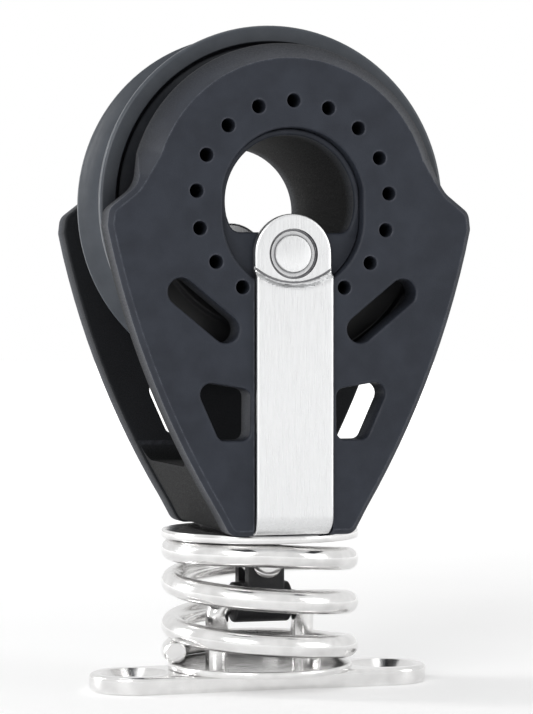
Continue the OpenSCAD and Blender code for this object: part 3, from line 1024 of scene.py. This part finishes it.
def bail_legs():
    """What the bail's legs take out of the plates they stand in."""
    shifts = [Matrix.Translation((BAIL_X * side, 0, 0)) for side in (1, -1)]
    return [placed(turned_disc(BAIL_ROD, LEG_FOOT, 9, 0, 32), shift) for shift in shifts]


def build_lower_seat(steel):
    disc = turned_disc(LOWER_SEAT_HIGH.x, LOWER_SEAT_LOW.z, LOWER_SEAT_HIGH.z, 0.25)
    seat = to_object("lower_seat_pressed", disc)
    finish(cut(seat, *bail_legs()), steel, "base", ["lower_seat"])


def build_bail(steel):
    bend = 1.6
    side = [Vector((BAIL_X, 0, LEG_FOOT + (BAR_Z - bend - LEG_FOOT) * i / 8)) for i in range(9)]
    side += [Vector((BAIL_X - bend * (1 - math.cos(a)), 0, BAR_Z - bend * (1 - math.sin(a))))
             for a in [math.radians(9 * i) for i in range(1, 11)]]
    path = side + [Vector((x, 0, BAR_Z)) for x in (2, 0, -2)]
    path += [Vector((-p.x, 0, p.z)) for p in reversed(side)]
    finish(to_object("bail_bent", tube(path, BAIL_ROD, 28, (0, 0))), steel, "base", ["bail"])


# ---------------------------------------------------------------- studio

# Point that the lamps and the camera face
MIDDLE = Vector((0, 0, 36))


def build_floor():
    rim = circle((0, 0), 3000, 60)
    mesh = bpy.data.meshes.new("floor")
    mesh.from_pydata([Vector((p.x, p.y, 0)) * MM for p in rim], [], [tuple(range(len(rim)))])
    mesh.materials.append(studio_floor())
    add("floor", mesh)


def softbox(name, position, size, power):
    """Area light at a position in millimetres, facing the block."""
    light = bpy.data.lights.new(name, "AREA")
    light.shape = "RECTANGLE"
    light.size, light.size_y = size[0] * MM, size[1] * MM
    light.energy = power
    lamp = add(name, light)
    lamp.location = Vector(position) * MM
    lamp.rotation_euler = (MIDDLE - Vector(position)).to_track_quat("-Z", "Y").to_euler()
    lamp.visible_camera = False


def build_light():
    build_world()
    softbox("key", (-380, -460, 280), (320, 320), 1.6)
    softbox("fill", (420, -300, 160), (240, 300), 0.6)
    softbox("top", (0, 60, 520), (300, 300), 0.3)
    softbox("rim", (-520, 260, 160), (120, 420), 2.0)


def build_world():
    """Plain white room: full to the camera, a little dimmer in reflections and dimmest as diffuse light."""
    world = bpy.data.worlds.new("studio")
    world.use_nodes = True
    tree = world.node_tree
    plain = tree.nodes["Background"]
    plain.inputs["Color"].default_value = (1, 1, 1, 1)
    way = tree.nodes.new("ShaderNodeLightPath")
    room = tree.nodes.new("ShaderNodeMix")
    room.inputs["A"].default_value = 0.37
    room.inputs["B"].default_value = 0.9
    tree.links.new(way.outputs["Is Glossy Ray"], room.inputs["Factor"])
    seen = tree.nodes.new("ShaderNodeMix")
    seen.inputs["B"].default_value = 1
    tree.links.new(way.outputs["Is Camera Ray"], seen.inputs["Factor"])
    tree.links.new(room.outputs["Result"], seen.inputs["A"])
    tree.links.new(seen.outputs["Result"], plain.inputs["Strength"])
    bpy.context.scene.world = world


def build_camera():
    azimuth, elevation, distance = math.radians(16.38), math.radians(0.8), 293.5
    direction = Vector((-math.sin(azimuth) * math.cos(elevation), -math.cos(azimuth) * math.cos(elevation),
                        math.sin(elevation)))
    data = bpy.data.cameras.new("camera")
    data.lens = 131.1
    data.shift_x, data.shift_y = 0.0097, 0.0134
    data.clip_start, data.clip_end = 0.01, 20
    camera = add("camera", data)
    camera.location = (MIDDLE + direction * distance) * MM
    camera.rotation_euler = (-direction).to_track_quat("-Z", "Y").to_euler()
    bpy.context.scene.camera = camera


def build_all():
    nylon = moulded_nylon()
    bright = polished_steel()
    satin = satin_steel()
    build_cheeks(nylon)
    build_hub_core(nylon)
    build_head(nylon)
    build_sheave(sheave_black())
    build_strap(satin)
    build_rivet(satin)
    build_stud(bright)
    build_seat(bright)
    build_washer(bright)
    build_nut(bright)
    build_pin(bright)
    build_toggle(black_coating())
    build_spring(bright)
    build_base(bright)
    build_lower_seat(bright)
    build_bail(bright)
    colour_kept_nodes(satin, bright)


def colour_kept_nodes(satin, bright):
    """Materials of the CAD's own solids that are shown as they are."""
    kept_nodes = {"front_balls": (ball_plastic(), "ball_white"), "back_balls": (ball_plastic(), "ball_white"),
                  "dowels": (satin, "steel_satin"), "lock_pin": (bright, "steel_bright")}
    for node, (material, slot) in kept_nodes.items():
        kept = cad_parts[node]
        kept.data.materials.clear()
        kept.data.materials.append(material)


build_all()
build_floor()
build_light()
build_camera()
bpy.context.scene.view_settings.view_transform = "Standard"
